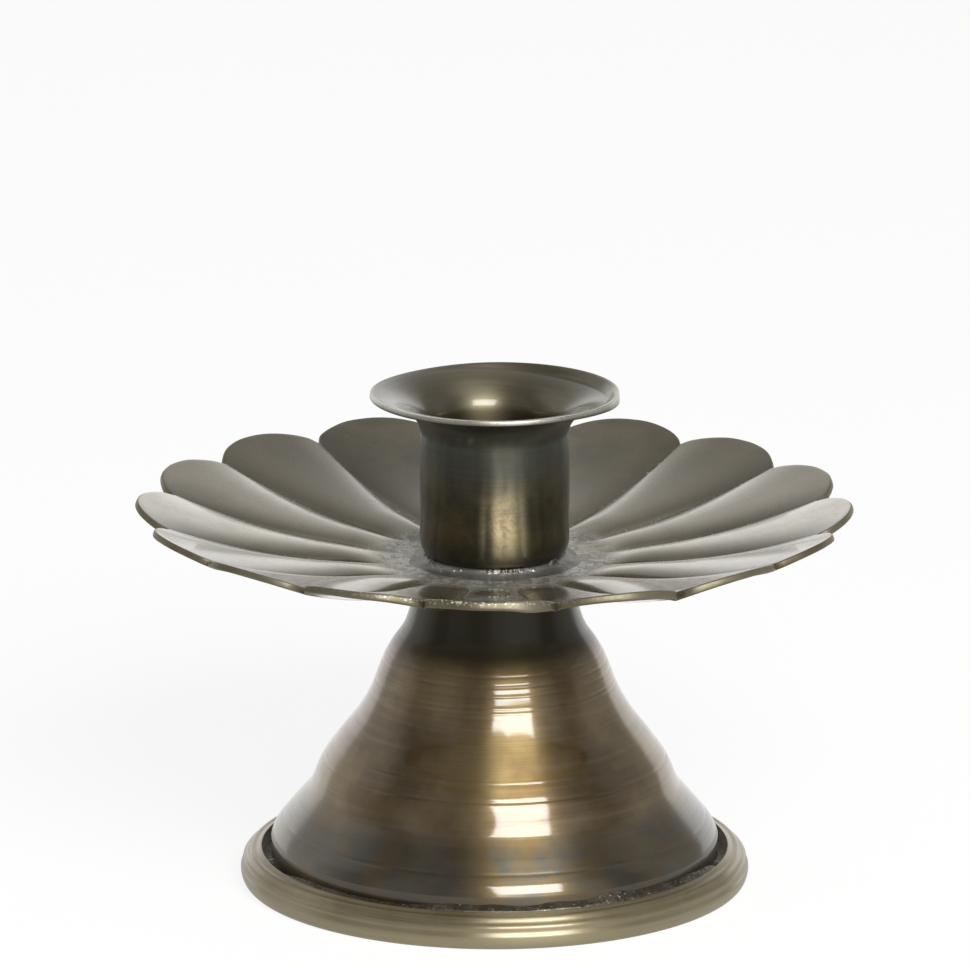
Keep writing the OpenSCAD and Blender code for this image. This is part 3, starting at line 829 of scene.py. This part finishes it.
def solder_under_cup(size, solder):
    """The fillet on the cup's bottom corner, with beads that ran out at the front."""
    outside = size.bore_radius + size.cup_wall
    bend_r, bend_z = outside - size.cup_corner, size.pan_top + size.cup_corner
    round_to = math.acos(1 - size.cup_fillet_height / size.cup_corner)
    # Radius of the line where the solder meets the cup
    line = bend_r + size.cup_corner * math.sin(round_to)
    a = np.linspace(0, math.pi / 2, 30)
    reach = outside + size.cup_fillet - line
    fillet = np.column_stack([line + reach * (1 - np.cos(a)),
                              size.pan_top + size.cup_fillet_height * (1 - np.sin(a)),
                              np.sin(a) + 0.01])
    outline = joined(
        arc((bend_r, bend_z), size.cup_corner, 270, 270 + math.degrees(round_to), 10),
        fillet,
        run((outside + size.cup_fillet, size.pan_top), (bend_r, size.pan_top), 4),
    )
    pick = np.random.default_rng(17)
    # Beads: degrees, place down the fillet from 0 to 1, radius and height in millimetres
    beads = [(-95, 0.22, 0.4, 0.35), (-90, 0.15, 0.55, 0.2), (-83, 0.2, 0.5, 0.45),
             (-77, 0.2, 0.6, 0.5), (-72, 0.25, 0.35, 0.4), (-67, 0.2, 0.35, 0.45),
             (-59, 0.2, 0.3, 0.4), (-33, 0.1, 1.0, 0.9), (-30, 0.28, 0.7, 0.5),
             (-120, 0.25, 0.4, 0.3), (-150, 0.2, 0.5, 0.35)]
    beads += [(pick.uniform(0, 360), pick.uniform(0.1, 0.6), pick.uniform(0.2, 0.4),
               pick.uniform(0.1, 0.3)) for _ in range(24)]

    def smear(a, r, z, mark):
        """Makes the fillet's edge run unevenly over the pan, and raises the beads."""
        wander = unevenness(a, z, 31, turns=13, reach=40, count=12)
        past = np.clip(r - line, 0, None) * (mark > 0)
        r = r - past * np.clip(0.34 + 0.12 * wander, 0, 0.6)
        down = np.arcsin(np.clip(mark - 0.01, 0, 1)) / (math.pi / 2)
        rise = 0 * r
        for at, place, width, height in beads:
            side = away(a, at) * r
            along = (down - place) * (reach + size.cup_fillet_height) * 0.75
            gap = np.clip(1 - (side ** 2 + along ** 2) / width ** 2, 0, None)
            rise = np.maximum(rise, height * np.sqrt(gap))
        rise *= mark > 0
        grain = 0.015 * (mark > 0) * unevenness(a, down * 9, 41, turns=160, reach=3, count=24)
        rise = rise + grain * np.sin(np.clip(down, 0, 1) * math.pi)
        # The beads stand up and outwards from the fillet
        return r + rise * np.sin(down * math.pi / 2 + 0.5).clip(0.3, 1) * 0.6, z + rise * 0.8

    make("cup_solder_fillet", "cup_solder", solder,
         round_axis(outline, 720, smear), sharp=60)


def solder_under_pan(size, solder):
    """The fillet between the cone's rounded top and the pan."""
    under_pan = size.pan_top - size.pan_sheet
    edge = size.neck_round
    outline = joined(
        arc((size.neck_radius - edge, under_pan - edge), edge, 90, 0, 10),
        arc((size.neck_radius + size.neck_fillet, under_pan - edge),
            (size.neck_fillet, edge), 180, 90, 17),
        run((size.neck_radius + size.neck_fillet, under_pan),
            (size.neck_radius - edge, under_pan), 3),
    )
    make("neck_solder_fillet", "neck_solder", solder,
         round_axis(outline, 192), sharp=60)


def solder_in_channel(size, solder):
    """Tacks in the channel round the foot, and a rough bead that fills it at the front."""
    inner, outer = size.skirt_radius, size.skirt_radius + size.channel
    floor = size.ledge_height
    outline = joined(
        run((inner, floor), (inner, floor + 0.3), 3),
        run((inner, floor + 1.0), (outer, floor + 1.0), 20, 1.0),
        run((outer, floor + 0.3), (outer, floor), 3),
    )
    # Where the tacks are, in degrees, their half width, and the skin of flux between them
    tacks, tack_half, thin = (74, 131, 189, 229, 350), 3.2, 0.25

    def heap(a, r, z, mark):
        """Heaps the solder up where it was laid."""
        degrees = np.degrees(a) % 360
        bead = ease(244, 262, degrees) * (1 - ease(312, 345, degrees))
        # Dirt and solder fill the channel at the front up to near the lip
        high = thin + (size.ring_height - floor - 0.3) * ease(188, 215, degrees) \
            * (1 - ease(338, 356, degrees))
        for at in tacks:
            tack = size.tack * np.exp(-(away(a, at) * inner / tack_half) ** 2)
            high = np.maximum(high, tack + thin)
        lumps = 0.5 * unevenness(a, r, 51, turns=60, reach=2.5, count=24) \
            + 0.5 * unevenness(a, r, 52, turns=230, reach=0.9, count=40)
        slope = (r - inner) / (outer - inner)
        low = floor + high * (1 - 0.25 * slope) + 0.07 * lumps * np.clip(high, 0, 1)
        full = size.ring_height - floor + size.bead * (1 - slope) ** 1.3 \
            * (0.65 + 0.25 * unevenness(a, 0 * r, 53, turns=30))
        full = floor + full - 0.5 * ease(0.7, 1.0, slope) + 0.06 * lumps
        top = np.maximum(low, floor + 0.05) * (1 - bead) + full * bead
        return r, np.where(mark > 0, top, np.minimum(z, top))

    make("foot_solder_crust", "foot_solder", solder,
         round_axis(outline, 1200, heap), sharp=60)


class CANDLESTICK_OT_solder(bpy.types.Operator):
    """Fillets and crusts of solder between the cup, the pan, the cone and the foot ring"""

    bl_idname = "candlestick.solder"
    bl_label = "Solder"

    def execute(self, context):
        size, finish = chosen(context)
        solder = solder_finish(finish)
        solder_under_cup(size, solder)
        solder_under_pan(size, solder)
        solder_in_channel(size, solder)
        return {"FINISHED"}


class CANDLESTICK_OT_fasteners(bpy.types.Operator):
    """Finishes of the screw, the washers and the nut"""

    bl_idname = "candlestick.fasteners"
    bl_label = "Fasteners"

    def execute(self, context):
        finish = chosen(context)[1]
        zinc = steel_finish("dulled zinc plating on steel", finish.zinc, "86857f")
        spring = steel_finish("tempered spring steel", finish.spring, "45443f")
        for name, material in (("clamp_screw", zinc), ("cup_washer", zinc), ("cone_washer", zinc),
                               ("hex_nut", zinc), ("spring_washer", spring)):
            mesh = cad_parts[name].data
            mesh.materials.clear()
            mesh.materials.append(material)
        return {"FINISHED"}


def lay_floor(scene):
    """A white floor that keeps a faint shadow. The metal sees it paler behind the object."""
    mesh = bpy.data.meshes.new("floor")
    far = 4.0
    mesh.from_pydata([(-far, -far, 0), (far, -far, 0), (far, far, 0), (-far, far, 0)],
                     [], [(0, 1, 2, 3)])
    floor = bpy.data.objects.new("floor", mesh)
    scene.collection.objects.link(floor)
    material, tree = blank("white studio floor")
    camera, mirror = seen_by(tree)
    place = add(tree, "TexCoord", out="Object")
    behind = add(tree, "MapRange", (backdrop(tree, place)[1], 0.0, 1.0, 0.5, 1.0))
    shown = add(tree, "Math", (mirror, behind), operation="MULTIPLY")
    shown = add(tree, "Math", (shown, camera), operation="MAXIMUM")
    seen = add(tree, "Math", (mirror, camera), operation="MAXIMUM")
    glow = add(tree, "Emission", (grey(0.86), shown))
    matt = add(tree, "BsdfDiffuse", (layered(tree, grey(0.8), (grey(0.2), seen)),))
    add(tree, "OutputMaterial", (add(tree, "AddShader", (glow, matt)),))
    mesh.materials.append(material)


def seen_by(tree):
    """Whether the camera sees a place, and whether metal or glass does."""
    path = add(tree, "LightPath").node.outputs
    mirror = add(tree, "Math", (path["Is Glossy Ray"], path["Is Transmission Ray"]),
                 operation="ADD", use_clamp=True)
    return path["Is Camera Ray"], mirror


def backdrop(tree, way, up=None):
    """Where a way points round the object, with 0.5 straight behind it, and its share of
    the white backdrop, which narrows as it rises."""
    sides = add(tree, "SeparateXYZ", (way,)).node.outputs
    turn = add(tree, "Math", (sides["X"], sides["Y"]), operation="ARCTAN2")
    deep = add(tree, "Math", (turn,), operation="COSINE")
    if up:
        narrow = add(tree, "MapRange", (up, 0.0, 1.0, 0.0, 0.33))
        deep = add(tree, "Math", (deep, narrow), operation="SUBTRACT")
    return (add(tree, "MapRange", (turn, -math.pi, math.pi)),
            add(tree, "MapRange", (deep, 0.64, 0.7)))


def light_room(scene, dull):
    """White all round to the camera. To the metal it is a dim room with a white backdrop."""
    scene.world = bpy.data.worlds.new("studio")
    scene.world.use_nodes = True
    tree = scene.world.node_tree
    tree.nodes.clear()
    camera, mirror = seen_by(tree)
    way = add(tree, "TexCoord", out="Generated")
    up = add(tree, "SeparateXYZ", (way,), "Z")
    turn, behind = backdrop(tree, way, up)
    back = add(tree, "ValToRGB", (up,), stops=(
        (0.17, 1.0), (0.21, 0.95), (0.29, 0.75), (0.38, 0.52), (0.47, 0.4), (0.6, 0.31),
        (0.71, 0.26), (0.82, 0.2)))
    # Panels of different greys stand round the front and the sides, and hang above
    front = add(tree, "ValToRGB", (turn,), stops=(
        (0.0, 0.45), (0.03, 0.25), (0.08, 0.2), (0.12, 0.3), (0.17, 0.3), (0.19, 0.2),
        (0.23, 0.2), (0.27, 0.45), (0.31, 0.6), (0.35, 0.5), (0.6, 0.25), (0.66, 0.3),
        (0.71, 0.4), (0.75, 0.33), (0.77, 0.2), (0.81, 0.2), (0.84, 0.45), (0.89, 0.6),
        (1.0, 0.5)))
    above = add(tree, "ValToRGB", (turn,), stops=(
        (0.0, 0.3), (0.25, 0.15), (0.45, 0.25), (0.52, 0.5), (0.67, 0.6), (0.78, 0.8),
        (0.92, 0.7), (1.0, 0.5)))
    seen = layered(tree, front, (back, behind), (above, up, 0.8, 0.92, 1.0))
    light = layered(tree, grey(dull), (seen, mirror), (grey(1.0), camera))
    add(tree, "OutputWorld", (add(tree, "Background", (light, 1.0)),))


def hang_softbox(scene, watts):
    """The key softbox, above the camera and to its right."""
    lamp = bpy.data.lights.new("key_softbox", "AREA")
    lamp.shape = "RECTANGLE"
    lamp.size, lamp.size_y, lamp.energy = 0.92, 0.71, watts
    box = bpy.data.objects.new("key_softbox", lamp)
    azimuth, elevation, distance = math.radians(18.5), math.radians(34.5), 1.6
    way = Vector((math.sin(azimuth) * math.cos(elevation),
                  -math.cos(azimuth) * math.cos(elevation), math.sin(elevation)))
    box.location = Vector((0, 0, 0.05)) + distance * way
    box.rotation_euler = way.to_track_quat("Z", "Y").to_euler()
    box.visible_camera = False
    scene.collection.objects.link(box)


def set_camera(scene, studio):
    """Looks down at the pan from the photograph's side."""
    # A long lens from far away, aimed a little beside the axis as in the photograph
    lens = bpy.data.cameras.new("camera")
    lens.sensor_width, lens.lens = 36.0, 529.3
    lens.clip_start, lens.clip_end = 0.1, 50.0
    eye = bpy.data.objects.new("camera", lens)
    down = studio.camera_height
    aim = Vector((-1.57 * MM, 0, 66.356 * MM))
    eye.location = aim + studio.camera_distance * Vector((0, -math.cos(down), math.sin(down)))
    eye.rotation_euler = (math.pi / 2 - down, 0, 0)
    scene.collection.objects.link(eye)
    scene.camera = eye


class CANDLESTICK_OT_stage(bpy.types.Operator):
    """Pale floor, soft studio light and the camera"""

    bl_idname = "candlestick.stage"
    bl_label = "Stage"

    def execute(self, context):
        scene, studio = context.scene, context.scene.candlestick_studio
        scene.view_settings.view_transform = "Standard"
        lay_floor(scene)
        light_room(scene, studio.room)
        hang_softbox(scene, studio.key_watts)
        set_camera(scene, studio)
        return {"FINISHED"}


STEPS = (CANDLESTICK_OT_cup, CANDLESTICK_OT_pan, CANDLESTICK_OT_cone, CANDLESTICK_OT_foot_ring,
         CANDLESTICK_OT_solder, CANDLESTICK_OT_fasteners, CANDLESTICK_OT_stage)


class CANDLESTICK_PT_panel(bpy.types.Panel):
    """Lists the steps that dress the candlestick"""

    bl_idname = "CANDLESTICK_PT_panel"
    bl_label = "Candlestick"
    bl_space_type = "VIEW_3D"
    bl_region_type = "UI"
    bl_category = "Candlestick"

    def draw(self, context):
        for step in STEPS:
            self.layout.operator(step.bl_idname, text=step.bl_label)


GROUPS = (("candlestick_sizes", CandlestickSizes), ("candlestick_finishes", CandlestickFinishes),
          ("candlestick_studio", CandlestickStudio))


def register():
    for name, group in GROUPS:
        bpy.utils.register_class(group)
        setattr(bpy.types.Scene, name, PointerProperty(type=group))
    for step in STEPS + (CANDLESTICK_PT_panel,):
        bpy.utils.register_class(step)


def unregister():
    for step in (CANDLESTICK_PT_panel,) + STEPS[::-1]:
        bpy.utils.unregister_class(step)
    for name, group in GROUPS[::-1]:
        delattr(bpy.types.Scene, name)
        bpy.utils.unregister_class(group)


def main():
    """Dresses the frame piece by piece."""
    register()
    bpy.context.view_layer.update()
    bpy.ops.candlestick.cup()
    bpy.ops.candlestick.pan()
    bpy.ops.candlestick.cone()
    bpy.ops.candlestick.foot_ring()
    bpy.ops.candlestick.solder()
    bpy.ops.candlestick.fasteners()
    bpy.ops.candlestick.stage()


if __name__ == "__main__":
    main()
